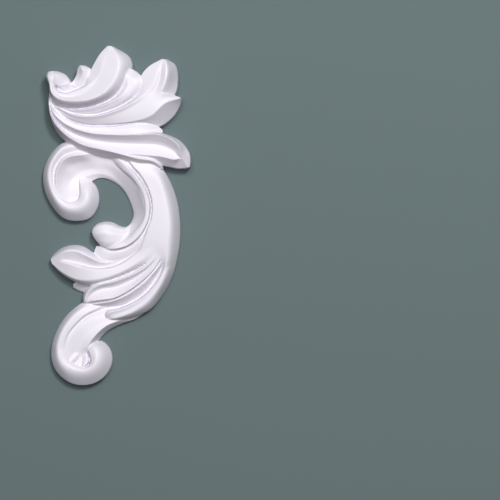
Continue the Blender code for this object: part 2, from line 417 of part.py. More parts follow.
def lower_scroll():
    """Neck and volute at the foot; its rails run down, outer rail first."""
    leaf("neck",
         [(-71, -84, 7), (-81.5, -90.8, 6), (-92.5, -101.2, 6), (-101.8, -116.9, 7), (-106.2, -134, 7),
          (-103, -148, 7)],
         [(-61, -84, 8), (-76.5, -93.6, 14), (-87.8, -105, 16.8), (-95.8, -119, 17.8),
          (-98.8, -134, 18), (-95.5, -146, 18)],
         [(-50, -87, 8), (-61, -92.5, 11.5), (-71.8, -98.2, 14), (-83.5, -108.8, 16.2),
          (-91, -119.5, 17), (-94, -134, 16.8), (-91, -146.5, 17)],
         [(-47, -90, 6.5), (-59, -94.8, 9), (-70.6, -99.9, 11.3), (-82, -109.8, 13.8),
          (-89.3, -119.5, 15.3), (-91.8, -132, 16), (-88.5, -147, 16)],
         [(-44, -92, 7.5), (-57.3, -96.8, 11), (-68.6, -102, 13.3), (-80, -111.2, 15),
          (-86.9, -120.7, 15.6), (-88.6, -134, 15.2), (-88.2, -141.5, 15), (-90, -149, 15.3)],
         [(-36, -93, 8), (-54, -102, 12.5), (-66, -111.5, 14), (-74.5, -121, 14), (-79, -134, 12.8),
          (-81.8, -141.5, 12), (-86, -149.5, 12.3)],
         [(-18, -90, 6), (-36, -103, 10), (-51.5, -109.8, 14), (-62, -119.2, 16.5), (-69.3, -130, 15.8),
          (-70.3, -138, 12), (-71.5, -150.5, 12)],
         [(-10, -94, 4), (-23.5, -103, 4), (-37, -107.8, 4), (-50, -114.5, 4), (-59.5, -124.5, 4),
          (-66, -134, 7), (-66.5, -149, 8)],
         rounded=(5,), domed=(0,))
    leaf("volute",
         [(-92.5, -101.5, 2), (-102, -117.5, 4), (-106.4, -138, 7), (-101.5, -154.6, 8),
          (-87, -166.6, 9), (-70, -168.5, 9), (-55, -161.8, 8), (-46.5, -149, 6), (-46.2, -137, 5),
          (-51, -128.5, 4), (-57, -124.3, 3)],
         [(-88, -106, 12), (-95.5, -119, 15), (-99, -135, 18), (-95, -146.5, 18.5),
          (-85.5, -152.5, 18.7), (-73.5, -154.5, 19.3), (-65, -150.5, 20), (-61, -143, 20),
          (-61.2, -136, 19), (-64, -131, 17), (-67.5, -128.3, 14)],
         [(-84, -108, 10), (-90, -121, 13), (-92.8, -135, 16.5), (-89.5, -144.5, 17), (-82, -149.8, 17),
          (-73, -151.8, 17.3), (-67.8, -149.3, 17.6), (-65.9, -144.3, 17.6), (-66.7, -139.7, 17.2),
          (-68.5, -135.4, 16), (-70.5, -131, 13.5)],
         [(-80, -112, 9), (-84.5, -124, 12), (-90, -135, 14.3), (-87.8, -143.6, 14.3),
          (-81.5, -148.7, 14), (-73.5, -150.7, 13.5), (-68.9, -148.6, 13.2), (-67.1, -144, 13.2),
          (-67.9, -139.8, 12.8), (-69.8, -135.7, 11.5), (-71.8, -131.8, 11)],
         domed=(0, 1))
    leaf("eye_bank",
         [(-82, -135, 13), (-87, -141.5, 14.6), (-92.5, -148, 15.6)],
         [(-78.4, -137.4, 12.9), (-82.8, -142.2, 15), (-88.4, -147.6, 16)],
         [(-76.8, -139.4, 11.2), (-80.4, -145.2, 11.4), (-85.6, -150.2, 12.6)],
         rounded=(1,))
    leaf("eye_fold",
         [(-77, -139.8, 11.2), (-80.8, -145.6, 11.6), (-85.6, -151, 12.8)],
         [(-76.2, -139.8, 12), (-78.2, -145.6, 13.4), (-80.6, -151.8, 15)],
         [(-75.2, -140, 11.6), (-75.8, -145.6, 12.2), (-76.2, -151.8, 13.8)],
         rounded=(1,))
    leaf("eye_lip",
         [(-75.2, -139.6, 11.6), (-75.7, -145.4, 12.2), (-76.2, -151.8, 13.8)],
         [(-73.4, -138.4, 12.2), (-73, -142, 13.8), (-73, -145, 14.8), (-74, -148.6, 15.8),
          (-75.4, -152, 16.8)],
         [(-71.6, -137, 12.6), (-70.2, -140.4, 14.2), (-69.6, -144, 15.2), (-71.2, -147.8, 15.9),
          (-74.6, -151.4, 16.6)],
         [(-70.7, -136.2, 11.2), (-68.9, -140, 12), (-68.1, -144, 12.8), (-69.9, -148, 13.4),
          (-73.8, -150.3, 14.2)],
         rounded=(1, 2))


def relief():
    plume()
    stem()
    scroll()
    leaves()
    lower_scroll()


def white_primer():
    material = bpy.data.materials.new("white primer")
    material.use_nodes = True
    shader = material.node_tree.nodes["Principled BSDF"]
    shader.inputs["Base Color"].default_value = COLOUR
    shader.inputs["Roughness"].default_value = ROUGHNESS
    shader.inputs["Metallic"].default_value = 0.0
    return material


def new_collection(name):
    collection = bpy.data.collections.new(name)
    bpy.context.scene.collection.children.link(collection)
    return collection


def back_block(group):
    """Block behind the wall plane, which cuts the back flat."""
    bpy.ops.mesh.primitive_cube_add(size=BACK_BLOCK * MM)
    block = bpy.context.object
    block.name = "back_block"
    block.location = (0.0, BACK_BLOCK * MM / 2, 0.0)
    for collection in list(block.users_collection):
        collection.objects.unlink(block)
    group.objects.link(block)
    block.hide_render = True
    block.display_type = "WIRE"
    return block


def main():
    for obj in list(bpy.data.objects):
        bpy.data.objects.remove(obj, do_unlink=True)
    ornament_group = new_collection("scroll ornament")
    leaf_group = new_collection("leaf bodies")
    cutter_group = new_collection("cutters")
    relief()
    ornament = bpy.data.objects["stem"]
    leaf_group.objects.unlink(ornament)
    ornament_group.objects.link(ornament)
    ornament.name = NAME
    ornament.hide_render = False
    ornament.display_type = "TEXTURED"
    ornament.data.materials.append(white_primer())
    joined = ornament.modifiers.new("joined leaves", "BOOLEAN")
    joined.operation = "UNION"
    joined.solver = "EXACT"
    joined.operand_type = "COLLECTION"
    joined.collection = leaf_group
    flat = ornament.modifiers.new("flat back", "BOOLEAN")
    flat.operation = "DIFFERENCE"
    flat.solver = "EXACT"
    flat.object = back_block(cutter_group)


main()
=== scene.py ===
"""Looks of the cast acanthus scroll ornament.

The relief is lofted again from the curves of the CAD part, finer, then fused by a voxel remesh and softened
like a cast and primed surface. Curves are in millimetres as (x, z, height above the back).
"""
import json
import math
import bpy
import bmesh
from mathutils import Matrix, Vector

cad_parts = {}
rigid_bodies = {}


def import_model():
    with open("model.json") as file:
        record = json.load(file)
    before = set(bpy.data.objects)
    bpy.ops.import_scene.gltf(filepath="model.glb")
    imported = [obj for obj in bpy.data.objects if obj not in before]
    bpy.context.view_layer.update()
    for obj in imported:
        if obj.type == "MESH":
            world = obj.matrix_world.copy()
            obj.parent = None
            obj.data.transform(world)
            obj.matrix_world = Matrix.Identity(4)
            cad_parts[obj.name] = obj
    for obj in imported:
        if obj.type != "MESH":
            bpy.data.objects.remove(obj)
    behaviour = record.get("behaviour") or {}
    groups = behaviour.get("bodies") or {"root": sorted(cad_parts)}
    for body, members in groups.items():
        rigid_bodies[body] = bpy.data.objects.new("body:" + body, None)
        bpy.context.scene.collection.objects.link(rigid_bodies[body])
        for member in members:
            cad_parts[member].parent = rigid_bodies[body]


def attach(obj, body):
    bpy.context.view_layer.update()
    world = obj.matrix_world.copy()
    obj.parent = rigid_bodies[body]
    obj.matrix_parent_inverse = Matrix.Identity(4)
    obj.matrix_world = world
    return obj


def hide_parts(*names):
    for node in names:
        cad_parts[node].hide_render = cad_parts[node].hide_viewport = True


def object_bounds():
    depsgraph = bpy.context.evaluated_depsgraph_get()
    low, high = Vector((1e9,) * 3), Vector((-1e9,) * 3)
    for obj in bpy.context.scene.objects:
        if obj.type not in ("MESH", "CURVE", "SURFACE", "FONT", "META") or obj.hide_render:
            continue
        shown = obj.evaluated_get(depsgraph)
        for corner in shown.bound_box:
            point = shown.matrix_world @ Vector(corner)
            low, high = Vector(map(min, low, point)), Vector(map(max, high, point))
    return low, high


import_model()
cad_low, cad_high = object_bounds()

MM = 0.001
NODE = "scroll_ornament"

# Lofts, in millimetres
STATION_PITCH = 1.6
FEWEST_STATIONS = 20
MOST_STATIONS = 190
FINE_STEPS = 24
LEAST_STEP = 0.01
WALL_DRAFT = 0.7
BACK_OVERLAP = 4.0
SOFTENING = 0.27
DOME_STEPS = 7

# Fusing and softening: voxel in millimetres, turns of a smoothing that moves each point half way
VOXEL = 0.5
SMOOTH_FACTOR = 0.5
SMOOTH_TURNS = 3
ROOT_TURNS = 60
SMOOTH_ANGLE = math.radians(60.0)
# Places that are smoothed more: centre x and z and radius in millimetres, and strength
ROOTS = [(-6.0, -31.0, 17.0, 1.0), (5.0, -36.0, 9.0, 1.0),
         (-6.0, 117.0, 12.0, 1.0), (-33.0, 139.0, 8.0, 1.0),
         (-79.0, -145.0, 12.0, 0.12), (-100.5, 128.5, 6.0, 0.15)]
TRIANGLES = 188000

# Trimming to the CAD box, in metres
CUT_THRESHOLD = 0.000001
HAIR = 0.000002
BACK_SNAP = 0.00002

# Camera: 500 mm of wall across the picture, seen square on
PICTURE_SPAN = 0.5
PICTURE_CENTRE = (0.092, -0.034)
CAMERA_DISTANCE = 4.0
SENSOR = 36.0

# Wall behind the ornament
WALL_GAP = 0.0003
WALL_SIZE = 6.0
WALL_COLOUR = (0.202, 0.253, 0.256, 1.0)
WALL_ROUGHNESS = 0.7

# White primer
PRIMER_COLOUR = (0.81, 0.785, 0.84, 1.0)
PRIMER_ROUGHNESS = 0.5

# Light: a small key lamp from the upper right, a wide one from the front, and a dim room
LAMP_TARGET = Vector((-0.04, 0.0, 0.0))
KEY_PLACE = Vector((0.7, -2.6, 1.25))
KEY_SIZE = 0.4
KEY_POWER = 30.0
FRONT_PLACE = Vector((0.0, -4.6, 1.5))
FRONT_SIZE = 3.2
FRONT_POWER = 142.0
WORLD_STRENGTH = 0.25
BACK_SUN = 2.0
VIEW_GAMMA = 0.7


def spline(points, count):
    """Smooth curve through the points, cut into evenly spaced stations."""
    points = [Vector(p) for p in points]
    knots = [0.0]
    for a, b in zip(points, points[1:]):
        knots.append(knots[-1] + max((b.xy - a.xy).length, LEAST_STEP) ** 0.5)
    last = len(points) - 1
    slopes = []
    for i in range(last + 1):
        before = (points[i] - points[i - 1]) / (knots[i] - knots[i - 1]) if i > 0 else None
        after = (points[i + 1] - points[i]) / (knots[i + 1] - knots[i]) if i < last else None
        if before is None:
            slopes.append(after)
        elif after is None:
            slopes.append(before)
        else:
            left = knots[i] - knots[i - 1]
            right = knots[i + 1] - knots[i]
            slopes.append((before * right + after * left) / (left + right))
    fine = []
    for i in range(last):
        span = knots[i + 1] - knots[i]
        for k in range(FINE_STEPS):
            u = k / FINE_STEPS
            fine.append(points[i] * (2 * u ** 3 - 3 * u ** 2 + 1)
                        + slopes[i] * span * (u ** 3 - 2 * u ** 2 + u)
                        + points[i + 1] * (3 * u ** 2 - 2 * u ** 3)
                        + slopes[i + 1] * span * (u ** 3 - u ** 2))
    fine.append(points[-1])
    walked = [0.0]
    for a, b in zip(fine, fine[1:]):
        walked.append(walked[-1] + (b.xy - a.xy).length)
    stations = []
    k = 0
    for i in range(count):
        want = walked[-1] * i / (count - 1)
        while k < len(fine) - 2 and walked[k + 1] < want:
            k += 1
        step = max(walked[k + 1] - walked[k], 1e-9)
        stations.append(fine[k].lerp(fine[k + 1], min(max((want - walked[k]) / step, 0.0), 1.0)))
    return stations


def length(points):
    """Length of a rail across the wall, from point to point."""
    return sum((Vector(b).xy - Vector(a).xy).length for a, b in zip(points, points[1:]))


def dome(a, b):
    """Points between two rails on a quarter of an ellipse that is level at the higher one."""
    points = []
    for i in range(DOME_STEPS):
        u = (i + 1) / (DOME_STEPS + 1)
        share = math.sin(math.pi / 2 * u) if b.z > a.z else 1.0 - math.cos(math.pi / 2 * u)
        flat = a.lerp(b, u)
        points.append(Vector((flat.x, flat.y, a.z + (b.z - a.z) * share)))
    return points


def section(station, rounded, domed):
    """Section of a leaf at one station, with its domed flanks and its softened corners."""
    row = []
    for i, point in enumerate(station):
        if i in rounded and i not in domed and i - 1 not in domed:
            before = point.lerp(station[i - 1], SOFTENING)
            after = point.lerp(station[i + 1], SOFTENING)
            row += [before, (before + point * 2 + after) / 4, after]
        else:
            row.append(point)
        if i in domed:
            row += dome(point, station[i + 1])
    return row


def foot(edge, inner, depth):
    """Point under an edge, a little outside it and behind the back plane."""
    away = edge.xy - inner.xy
    away = away.normalized() * WALL_DRAFT if away.length > 1e-6 else Vector((0.0, 0.0))
    return Vector((edge.x + away.x, edge.y + away.y, -depth))


def leaf(*rails, rounded=(), domed=()):
    """Closed loft through the rails, with walls down to the back.

    rounded numbers the rails whose corner is softened, domed the flanks that bulge, each by its first rail.
    """
    longest = max(length(rail) for rail in rails)
    count = int(min(max(longest / STATION_PITCH, FEWEST_STATIONS), MOST_STATIONS))
    curves = [spline(rail, count) for rail in rails]
    rows = []
    for station in zip(*curves):
        row = section(station, rounded, domed)
        rows.append([foot(row[0], row[1], BACK_OVERLAP), *row, foot(row[-1], row[-2], BACK_OVERLAP)])
    grid = [[relief.verts.new((p.x * MM, -p.z * MM, p.y * MM)) for p in row] for row in rows]
    width = len(grid[0])
    faces = []
    for near, far in zip(grid, grid[1:]):
        for i in range(width):
            j = (i + 1) % width
            faces.append(relief.faces.new((near[i], near[j], far[j], far[i])))
    faces.append(relief.faces.new(grid[0]))
    faces.append(relief.faces.new(grid[-1]))
    bmesh.ops.recalc_face_normals(relief, faces=faces)


def plume():
    """Leaf tips that fan out from the left end; every rail runs from there to its tip, upper rail first."""
    # Snout
    leaf([(-105.5, 144.4, 18), (-103.5, 141.5, 23), (-102.3, 136, 24.8), (-101.5, 131.5, 23.5),
          (-99.8, 128.4, 21)],
         [(-101, 144.4, 17), (-97.5, 141, 20), (-95, 136.5, 19.5), (-95, 132.8, 19.6),
          (-96, 129.3, 19.6)],
         [(-97.5, 143.6, 15), (-92.2, 141, 14), (-88.6, 136.8, 13), (-87, 133.2, 15),
          (-90.5, 130.2, 17.6)],
         rounded=(1,))
    # Tip two
    leaf([(-101, 131, 20.5), (-96.5, 130.2, 20.2), (-91, 131.4, 19), (-85.7, 133.2, 16.2),
          (-81.4, 140, 14), (-79.8, 146.5, 17), (-77.8, 150, 18)],
         [(-100.6, 128.4, 18), (-95, 126.2, 17), (-87, 128, 16), (-79.5, 133, 17.6), (-74.6, 141, 20.5),
          (-75, 146, 22), (-77, 150, 20)],
         [(-100.6, 126, 14.5), (-93.2, 121.8, 12.5), (-82, 124.4, 13.5), (-72, 130.4, 17),
          (-67.5, 138, 18.5), (-66.5, 146, 16.5), (-72, 149.7, 16)])
    # Tip three
    leaf([(-103, 143.9, 20), (-102, 138, 24.5), (-101.8, 132.5, 23.5), (-100.6, 126.9, 18.5),
          (-93.2, 122.8, 17.8), (-82.6, 125.3, 19), (-71.8, 131, 20.6), (-67.7, 143, 18),
          (-58, 160.7, 17.5), (-50.5, 169.2, 16)],
         [(-104, 144.1, 21), (-104, 138, 26), (-103.6, 132, 26.3), (-101.2, 126.2, 25.8),
          (-93.3, 121.3, 24.4), (-82, 123.9, 24.1), (-69.5, 129.5, 24.5), (-60.5, 137.5, 23.5),
          (-55, 152, 21.5), (-49.5, 169.5, 17)],
         [(-105.5, 144.1, 21), (-106, 138, 26.3), (-105, 130.5, 25.8), (-102.2, 123.8, 24),
          (-94, 118.8, 23), (-84, 118.8, 23), (-72, 123.5, 23.8), (-62, 132, 24), (-53, 149, 22.5),
          (-48.5, 169.6, 17.5)],
         [(-108, 143.8, 20), (-109, 138.5, 24.8), (-107, 130, 26), (-105, 122.8, 27), (-98, 116.9, 28),
          (-85, 114.6, 29), (-68, 115.8, 30), (-53, 123, 30), (-41.5, 139.5, 28), (-39.4, 153, 25),
          (-46, 169, 18)],
         [(-110, 143, 16), (-111.5, 138.5, 17), (-108.3, 131, 16), (-107.7, 121.5, 13), (-102, 111, 12),
          (-84, 105.6, 11.5), (-65, 108, 12.5), (-45, 117.2, 14), (-33, 130, 15), (-25.5, 149, 11),
          (-28.5, 158.7, 11), (-43, 168.4, 13)],
         rounded=(1, 2, 3), domed=(3,))
    # Tip four
    leaf([(-106.8, 119, 10), (-103.5, 112.2, 12), (-97, 108.8, 13), (-80, 107.4, 12),
          (-62, 110.6, 12.5), (-44.5, 118.3, 14), (-37, 128, 17), (-34.5, 135, 18.3),
          (-35.5, 142, 18.5), (-35, 148, 17)],
         [(-107, 118, 13), (-104, 111.2, 16), (-96, 107.1, 17.5), (-80, 105, 20), (-62, 107.7, 22),
          (-44.5, 114.4, 23), (-34.5, 121.8, 23), (-30, 129.5, 22), (-29.8, 134.6, 21.2),
          (-31.5, 140.5, 20), (-32.5, 147.5, 18)],
         [(-107, 117.5, 12.5), (-104.2, 110.8, 15), (-95.5, 106, 16), (-81, 103.4, 17.5),
          (-63, 104.5, 19.3), (-44.3, 110.5, 21), (-31, 118.5, 22.3), (-25.5, 126, 22.5),
          (-23.4, 132, 22.2), (-23.6, 137.2, 21), (-25.5, 142.5, 17.5), (-26.5, 147.2, 15)],
         [(-107.1, 117, 10), (-104.5, 110.2, 11), (-94, 104.9, 12), (-82, 101.4, 12), (-65, 99.8, 12.5),
          (-44.2, 105.8, 15), (-28.3, 114.5, 17), (-18, 124, 19.5), (-15.5, 132, 20),
          (-16.2, 138.7, 18.5), (-20.5, 143.8, 13.5)],
         domed=(2,))
    # Tip five
    leaf([(-107.1, 117.5, 10), (-104, 110.8, 11), (-95, 106, 12), (-82, 102.2, 12.5),
          (-65, 100.8, 12.5), (-44.2, 106.8, 13), (-28.3, 115.2, 15), (-19, 125, 18.5),
          (-17.4, 133, 19.3), (-15.8, 140.6, 19), (-8.5, 149, 19), (4, 156.3, 18)],
         [(-107.3, 117, 13), (-104.2, 110.2, 17), (-96, 106, 20), (-84, 100.4, 23), (-66, 98.8, 25),
          (-41.5, 104.8, 25.5), (-18, 117.3, 25), (-6, 127, 24.2), (-1.5, 138, 23.6), (0.5, 145, 22.6),
          (4.2, 156, 18.6)],
         [(-107.4, 116.5, 12.5), (-104.5, 109.5, 16), (-96, 105, 18), (-84, 99, 21), (-66, 96.8, 23),
          (-41.5, 102.5, 24), (-18, 114.5, 24.3), (-2, 126.5, 22.8), (2.4, 138.5, 21.8),
          (3.6, 147, 21.4), (5.2, 156, 18.8)],
         [(-107.5, 116, 12), (-104.8, 108.8, 15), (-96, 104, 17), (-84, 98, 20), (-66, 95, 22),
          (-41.5, 100, 22), (-16, 111, 23), (1, 119.2, 25), (6.4, 128, 26.3), (9.9, 141, 26.3),
          (9.6, 150, 23.5), (8.3, 155.6, 19)],
         [(-107.6, 115, 9), (-105, 108, 10), (-95, 102, 11), (-84, 97, 12), (-66, 93, 13),
          (-41.5, 97, 14), (-12, 108, 15), (16, 119.8, 12), (20.1, 137, 8), (17.6, 150.2, 9),
          (10, 156, 13)],
         rounded=(1, 3))
    # Tip six
    leaf([(-107.3, 117, 11), (-104.5, 109.8, 15), (-96, 105.4, 18), (-84, 100.6, 22), (-66, 99, 24.6),
          (-41.5, 104.6, 24), (-18, 116, 24), (-2, 121.6, 24.3), (6, 122.3, 24.6), (14.6, 120.7, 22),
          (22.5, 118, 18)],
         [(-107.4, 116, 11), (-104.8, 108.8, 15), (-97, 103.4, 17), (-86, 98.5, 20), (-68, 94, 21),
          (-44, 96, 22), (-20, 102, 24), (-2, 111, 25), (9, 117.5, 23), (22.9, 117.6, 18.5)],
         [(-107.5, 115.5, 11), (-105, 108.2, 14), (-98, 102, 16), (-88, 97, 18.5), (-70, 91.8, 19),
          (-48, 91.5, 20), (-22, 94.2, 23), (-6, 99.7, 25), (8, 112, 24.5), (23.3, 117, 18.5)],
         [(-107.6, 115, 9), (-105.2, 107.5, 11), (-98.6, 101.3, 12), (-90, 96.1, 13), (-71, 90.1, 14),
          (-48, 89.6, 15), (-22, 91.8, 16), (1.1, 89.2, 11), (15.2, 98.9, 9), (22, 110, 11),
          (23.7, 116.2, 16)],
         rounded=(1,))
    # Tip seven
    leaf([(-107.4, 117, 10), (-105.4, 111, 12), (-101, 105.5, 13), (-94, 99.6, 14), (-82, 93, 14.5),
          (-68, 90.2, 15), (-48, 90, 16), (-20, 92.8, 16.5), (-8, 92.3, 14), (1.7, 88.6, 10)],
         [(-107.6, 116.5, 14), (-105.8, 110.8, 17), (-101.7, 105.2, 18.5), (-94.5, 98.4, 19),
          (-82.7, 91.9, 20), (-68, 88.6, 20.5), (-47.4, 88.5, 21), (-20, 91.4, 21), (-9, 90.8, 18.5),
          (2.6, 87.8, 11.5)],
         [(-107.7, 116, 14), (-106.1, 109.5, 16.5), (-102.3, 103.2, 18), (-95.5, 95.3, 19),
          (-84, 88.9, 20), (-68, 85.5, 21), (-47.4, 84.5, 21), (-20, 86.5, 21), (-9, 86.8, 18.5),
          (4.6, 86.2, 11.5)],
         [(-107.8, 115.5, 12), (-106.4, 108.5, 15), (-103, 101.5, 18), (-96.2, 94.4, 20),
          (-85.1, 87.4, 22), (-68, 82.2, 23), (-47.4, 80.4, 23.5), (-22, 80.7, 23), (-8, 81.4, 18),
          (5.6, 83.6, 11)],
         rounded=(2,))
    # Channel
    leaf([(-107.6, 116, 10), (-106, 109.2, 12), (-102, 101.5, 14), (-96, 95.7, 15), (-84, 89, 18),
          (-68, 84, 19), (-47.4, 82, 20), (-22, 82.5, 19), (-4, 84, 15), (10.5, 80.7, 13),
          (23, 74.2, 12), (31.5, 62.5, 12), (32.6, 55, 12), (31.9, 48.6, 13)],
         [(-107.8, 115.5, 14), (-106.4, 108.8, 17), (-102.8, 101.5, 19.5), (-96.2, 94.4, 21.5),
          (-85.1, 87.8, 23.5), (-68, 82.5, 24.5), (-47.4, 80.6, 25), (-20, 80.6, 25), (0, 81.2, 25),
          (12, 77.2, 25), (21.5, 68.5, 24), (23.6, 59, 21), (31.2, 48.6, 14)],
         [(-108, 115, 10), (-107, 107.5, 11), (-104.3, 100, 12), (-99.2, 93.4, 12), (-88.6, 84.4, 13),
          (-71, 76.8, 14), (-50, 73.2, 15), (-20, 72, 16), (2, 70.6, 16.5), (15, 64.8, 16),
          (20, 58.5, 17), (30.5, 48.4, 14)],
         [(-108.3, 117, 12), (-108.1, 108, 16), (-106.2, 98.5, 18), (-101.6, 90.2, 19.5),
          (-88.6, 77.4, 21), (-68, 68.6, 22), (-40, 62.2, 22), (-14, 60.5, 22), (4, 58.8, 22.5),
          (17.6, 56, 21.5), (23, 57.2, 20), (29.8, 48.3, 14.5)],
         [(-108.4, 116, 8), (-108, 108, 8.5), (-106.6, 97, 9), (-102.4, 87.8, 10), (-90, 75.5, 11),
          (-70, 66.5, 12), (-42, 59.5, 12), (-18, 53.5, 12), (3, 50.5, 12), (12, 49, 12),
          (20, 47.4, 12), (29, 47.6, 13)],
         rounded=(2,))
    # Lower rim
    leaf([(-107, 123, 12), (-107.6, 113, 13), (-104.5, 99.5, 13.5), (-95.5, 87, 14), (-76, 75, 15),
          (-50, 67, 16), (-20, 62, 17), (-4, 59, 16), (3, 51.5, 15), (5.6, 47.4, 13)],
         [(-107.7, 123.5, 15), (-108.5, 113, 18), (-106.4, 99.5, 20), (-97.5, 85.8, 22),
          (-76.8, 71.6, 23), (-50, 64.8, 23), (-20, 57.1, 23), (-5, 54.4, 22), (1.5, 50.3, 19),
          (5.4, 46.8, 14)],
         [(-108.2, 123, 11), (-109.2, 113.5, 9), (-107, 98.5, 6), (-98.8, 81.2, 6), (-77.5, 65, 11),
          (-60, 60, 9), (-46, 57, 9), (-36, 55.3, 12), (-20, 52.8, 17), (-5, 51.2, 16), (3, 46, 13)])


def stem():
    """Main curved band, its bead and its hollow inner side; every rail runs down, right rail first."""
    # Stem
    leaf([(3, 50, 12), (12.3, 34.2, 6), (18.8, 16, 5), (21.9, -5, 5), (21.2, -30, 5), (14.3, -59.6, 4),
          (2.5, -81.5, 3), (-19, -100.2, 3)],
         [(-8, 54, 16), (1.1, 36.6, 19.5), (8, 14, 20.5), (11, -8, 21), (10, -24, 20.8),
          (8.8, -40, 19.6), (5.5, -56, 17), (-1, -69, 14.5), (-10, -81, 12), (-24, -94, 9)],
         [(-10, 54, 16.5), (-1, 38, 19.8), (5, 16, 20.6), (7.5, -6, 21), (7.2, -22, 20.8),
          (6.9, -36, 19.8), (6, -45, 17.5), (3, -54, 12), (-4, -64, 9), (-20, -79, 7), (-38, -90, 5)],
         [(-29.5, 56, 16), (-23.2, 48, 18.3), (-18, 42.3, 19), (-9.6, 28.5, 20), (-5.4, 14, 20.5),
          (-5.6, 0, 20.5), (-9, -11, 20.2), (-12.5, -21, 19.7), (-15.5, -32, 18.9), (-18.5, -41, 17.5),
          (-23, -49, 14), (-30, -58, 10), (-42, -76, 7)],
         [(-31, 56, 9), (-24.7, 47.5, 9), (-19.5, 42, 9), (-11, 28.5, 9), (-6.8, 14, 9), (-7, 0, 9),
          (-11, -9, 9), (-18, -20, 9), (-29, -34, 8), (-34, -52, 7), (-46, -72, 6)],
         domed=(0,))
    # Bead
    leaf([(-39, 63, 11), (-33, 57.5, 12.5), (-26, 51.2, 13.5), (-19, 44, 14), (-9.6, 29.3, 15),
          (-4.6, 14, 15.5), (-4.8, 0, 15.5), (-8.6, -12, 15.5), (-17.5, -25.5, 15), (-31, -33.5, 13.5),
          (-44, -36.6, 12), (-53, -35.4, 10)],
         [(-41.5, 61, 11), (-35, 55.5, 13), (-27.8, 49.3, 14), (-21.4, 42.6, 15), (-12, 28.3, 15.5),
          (-7.1, 14, 16), (-7.3, 0, 16), (-11, -11, 16), (-19.4, -23, 15.5), (-31, -31, 14),
          (-44, -34.3, 12.5), (-52.5, -33.8, 10)],
         [(-43, 60, 12), (-37, 54.3, 15), (-29.5, 47.6, 17.5), (-22.9, 41.4, 19), (-13.3, 27.6, 20.2),
          (-8.6, 14, 20.4), (-8.6, 0.5, 20.4), (-12.3, -10.5, 20.4), (-20.2, -22, 20.2),
          (-31, -29.8, 19.3), (-44, -33, 17.8), (-52, -32.6, 13)],
         [(-45.5, 58, 10), (-39.5, 52.3, 13), (-32.3, 45.8, 16), (-25.6, 39.6, 18), (-16.5, 27, 19.4),
          (-12.5, 14, 20), (-12.4, 0.5, 20), (-16, -9.3, 19.8), (-23, -18, 19), (-32, -25, 17.8),
          (-44, -28, 16.5), (-53, -30, 12)],
         [(-47, 56, 7), (-41, 50.6, 10), (-33.8, 44.4, 14), (-27, 38.5, 16), (-18, 26.5, 17.5),
          (-13.8, 14, 17.5), (-13.7, 0.5, 17.5), (-17.5, -8, 17), (-24.5, -16.3, 16),
          (-33.5, -22.5, 12), (-44, -25, 11), (-53.5, -27.5, 10)],
         rounded=(3,))
    # Hollow
    leaf([(-97, 12, 17), (-101.2, 20, 16.8), (-103.4, 31, 14.5), (-103.5, 42, 13), (-100.2, 52.8, 12.5),
          (-95.8, 58.6, 12.5), (-89, 62.2, 12.5), (-80, 66, 11), (-66, 67.5, 8.5), (-52, 64, 7.5),
          (-36, 58, 10), (-24, 48, 12), (-16, 32, 12), (-11.5, 16, 12), (-10.5, 2, 12), (-14, -11, 12),
          (-21.5, -21, 12), (-32, -28, 11)],
         [(-94, 12.5, 17.3), (-97.8, 20, 17), (-100.8, 28, 17.3), (-101.6, 36, 17.8),
          (-100.5, 44.2, 18.2), (-97.6, 50.3, 18.2), (-94, 55, 18.2), (-89, 58.4, 18), (-82, 60, 17),
          (-74, 60.8, 15), (-64, 62, 9.5), (-51, 60, 8), (-38, 54, 11), (-28.5, 45.5, 15.5),
          (-19.5, 30.5, 17.5), (-14.6, 16, 18), (-13.2, 2, 18), (-17, -9, 17.5), (-24.5, -18, 16.5),
          (-34, -24.5, 15)],
         [(-91, 12, 16.5), (-93.5, 19.5, 15.3), (-95, 30, 12.3), (-95, 38, 12), (-92.5, 45, 12),
          (-87.5, 50.5, 9.8), (-80, 53, 9), (-70, 54, 8), (-58, 53, 6.5), (-46, 49.5, 7.5),
          (-36, 42.5, 10), (-26, 31, 11.5), (-19.3, 17, 12), (-17.6, 3, 12), (-20.3, -6.5, 12),
          (-27, -15, 11.5), (-35, -20.5, 10.5)],
         [(-86, 11.5, 14.5), (-87, 18, 13.5), (-88.5, 27, 9.8), (-87, 35, 7), (-83, 41, 6),
          (-77, 44.8, 5.5), (-68, 47.2, 5), (-58, 47.3, 5), (-48, 44.5, 5), (-39.5, 37.5, 5.5),
          (-31.5, 28.5, 6), (-24.5, 17, 6.5), (-21.6, 4, 6.8), (-23.4, -4.5, 7), (-29.3, -12.3, 8.5),
          (-36, -17, 9)],
         [(-82, 12, 13), (-81.5, 18, 13.5), (-81, 25, 10.5), (-80, 31, 7.5), (-77.8, 35, 6),
          (-74, 38, 5.5), (-68.5, 40.3, 5), (-59, 42, 4.5), (-48, 39.4, 4), (-37.5, 31, 3.5),
          (-29.3, 19.5, 3), (-25.4, 9, 3), (-24.3, 1, 3), (-26, -6, 4.5), (-31, -11, 8.5),
          (-37, -14, 9.5)],
         [(-78, 12.5, 6), (-76, 17, 6), (-75, 24, 5), (-73, 29, 4), (-70.5, 32, 3), (-66.3, 34.6, 2.5),
          (-57, 38, 2), (-45.5, 34.9, 1.5), (-34, 25.3, 1.5), (-26.3, 10, 1.5), (-24.5, 1, 1.5),
          (-26.5, -5.6, 3), (-31.5, -11.2, 4), (-38, -11.5, 5)],
         rounded=(2, 3))


